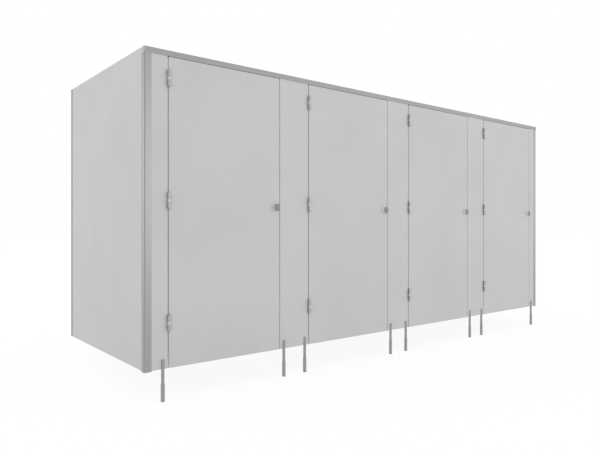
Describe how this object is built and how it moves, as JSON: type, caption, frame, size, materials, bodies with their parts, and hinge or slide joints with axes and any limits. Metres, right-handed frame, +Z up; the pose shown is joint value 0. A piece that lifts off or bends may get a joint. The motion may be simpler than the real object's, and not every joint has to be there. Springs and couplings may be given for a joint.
{
  "type": "toilet cubicle",
  "caption": "row of toilet cubicles with flush grey panels, a slim headrail and corner posts, outward-opening doors with turn-knob locks, on short round feet, fixed to a wall behind",
  "frame": {"origin": "on the wall plane behind the range, at floor level, half way along its length", "axes": "+X runs along the range to the right as seen from the room, +Y points into the wall (the doors face -Y), +Z is up"},
  "size_m": [4.181, 1.3419, 2],
  "materials": {
    "panel_board": "matte",
    "aluminium_profile": "satin",
    "cap_plastic": "matte",
    "steel_hardware": "satin",
    "foot_metal": "satin",
    "foot_nylon": "matte",
    "white_nylon": "satin",
    "lock_plastic": "satin",
    "buffer_rubber": "matte"
  },
  "bodies": {
    "frame": {"end_panel_left": "panel_board", "end_panel_right": "panel_board", "divider_1": "panel_board", "divider_2": "panel_board", "divider_3": "panel_board", "pilaster_1": "panel_board", "pilaster_2": "panel_board", "pilaster_3": "panel_board", "pilaster_4": "panel_board", "pilaster_5": "panel_board", "headrail": "aluminium_profile", "corner_post_left": "aluminium_profile", "corner_post_right": "aluminium_profile", "wall_channels": "aluminium_profile", "divider_channels": "aluminium_profile", "headrail_caps": "cap_plastic", "foot_legs": "foot_metal", "foot_bolts": "foot_metal", "foot_sleeves": "foot_metal", "foot_pads": "foot_nylon", "hinge_frame_leaves": "steel_hardware", "hinge_pins": "steel_hardware", "hinge_bushes": "white_nylon", "lock_keeps": "lock_plastic", "door_stops": "steel_hardware", "door_buffers": "buffer_rubber"},
    "door_1": {"door_1": "panel_board", "door_1_hinge_leaves": "steel_hardware", "lock_knob_1": "steel_hardware", "lock_case_1": "lock_plastic", "coat_hook_1": "steel_hardware"},
    "lock_turn_1": {"lock_spindle_1": "steel_hardware", "thumb_turn_1": "lock_plastic"},
    "lock_bolt_1": {"lock_bolt_1": "steel_hardware"},
    "door_2": {"door_2": "panel_board", "door_2_hinge_leaves": "steel_hardware", "lock_knob_2": "steel_hardware", "lock_case_2": "lock_plastic", "coat_hook_2": "steel_hardware"},
    "lock_turn_2": {"lock_spindle_2": "steel_hardware", "thumb_turn_2": "lock_plastic"},
    "lock_bolt_2": {"lock_bolt_2": "steel_hardware"},
    "door_3": {"door_3": "panel_board", "door_3_hinge_leaves": "steel_hardware", "lock_knob_3": "steel_hardware", "lock_case_3": "lock_plastic", "coat_hook_3": "steel_hardware"},
    "lock_turn_3": {"lock_spindle_3": "steel_hardware", "thumb_turn_3": "lock_plastic"},
    "lock_bolt_3": {"lock_bolt_3": "steel_hardware"},
    "door_4": {"door_4": "panel_board", "door_4_hinge_leaves": "steel_hardware", "lock_knob_4": "steel_hardware", "lock_case_4": "lock_plastic", "coat_hook_4": "steel_hardware"},
    "lock_turn_4": {"lock_spindle_4": "steel_hardware", "thumb_turn_4": "lock_plastic"},
    "lock_bolt_4": {"lock_bolt_4": "steel_hardware"}
  },
  "joints": [
    {"name": "door_1_hinge", "type": "hinge", "parent": "frame", "child": "door_1", "pos_m": [-1.9445, -1.3309, 1.1405], "axis": [0, 0, -1], "range_deg": [0, 110], "stiffness_Nm_per_rad": 0.5, "springref_deg": -114.59},
    {"name": "lock_1_turn", "type": "hinge", "parent": "door_1", "child": "lock_turn_1", "pos_m": [-1.188, -1.3019, 1.117], "axis": [0, 1, 0], "range_deg": [0, 92]},
    {"name": "lock_1_bolt_slide", "type": "slide", "parent": "door_1", "child": "lock_bolt_1", "axis": [1, 0, 0], "range_m": [0, 0.01696]},
    {"name": "door_2_hinge", "type": "hinge", "parent": "frame", "child": "door_2", "pos_m": [-0.9065, -1.3309, 1.1405], "axis": [0, 0, -1], "range_deg": [0, 110], "stiffness_Nm_per_rad": 0.5, "springref_deg": -114.59},
    {"name": "lock_2_turn", "type": "hinge", "parent": "door_2", "child": "lock_turn_2", "pos_m": [-0.15, -1.3019, 1.117], "axis": [0, 1, 0], "range_deg": [0, 92]},
    {"name": "lock_2_bolt_slide", "type": "slide", "parent": "door_2", "child": "lock_bolt_2", "axis": [1, 0, 0], "range_m": [0, 0.01696]},
    {"name": "door_3_hinge", "type": "hinge", "parent": "frame", "child": "door_3", "pos_m": [0.1315, -1.3309, 1.1405], "axis": [0, 0, -1], "range_deg": [0, 110], "stiffness_Nm_per_rad": 0.5, "springref_deg": -114.59},
    {"name": "lock_3_turn", "type": "hinge", "parent": "door_3", "child": "lock_turn_3", "pos_m": [0.888, -1.3019, 1.117], "axis": [0, 1, 0], "range_deg": [0, 92]},
    {"name": "lock_3_bolt_slide", "type": "slide", "parent": "door_3", "child": "lock_bolt_3", "axis": [1, 0, 0], "range_m": [0, 0.01696]},
    {"name": "door_4_hinge", "type": "hinge", "parent": "frame", "child": "door_4", "pos_m": [1.1695, -1.3309, 1.1405], "axis": [0, 0, -1], "range_deg": [0, 110], "stiffness_Nm_per_rad": 0.5, "springref_deg": -114.59},
    {"name": "lock_4_turn", "type": "hinge", "parent": "door_4", "child": "lock_turn_4", "pos_m": [1.926, -1.3019, 1.117], "axis": [0, 1, 0], "range_deg": [0, 92]},
    {"name": "lock_4_bolt_slide", "type": "slide", "parent": "door_4", "child": "lock_bolt_4", "axis": [1, 0, 0], "range_m": [0, 0.01696]}
  ],
  "couplings": [
    {"joint": "lock_1_turn", "follows": "lock_1_bolt_slide", "rad_per_m": 92.593},
    {"joint": "lock_2_turn", "follows": "lock_2_bolt_slide", "rad_per_m": 92.593},
    {"joint": "lock_3_turn", "follows": "lock_3_bolt_slide", "rad_per_m": 92.593},
    {"joint": "lock_4_turn", "follows": "lock_4_bolt_slide", "rad_per_m": 92.593}
  ]
}
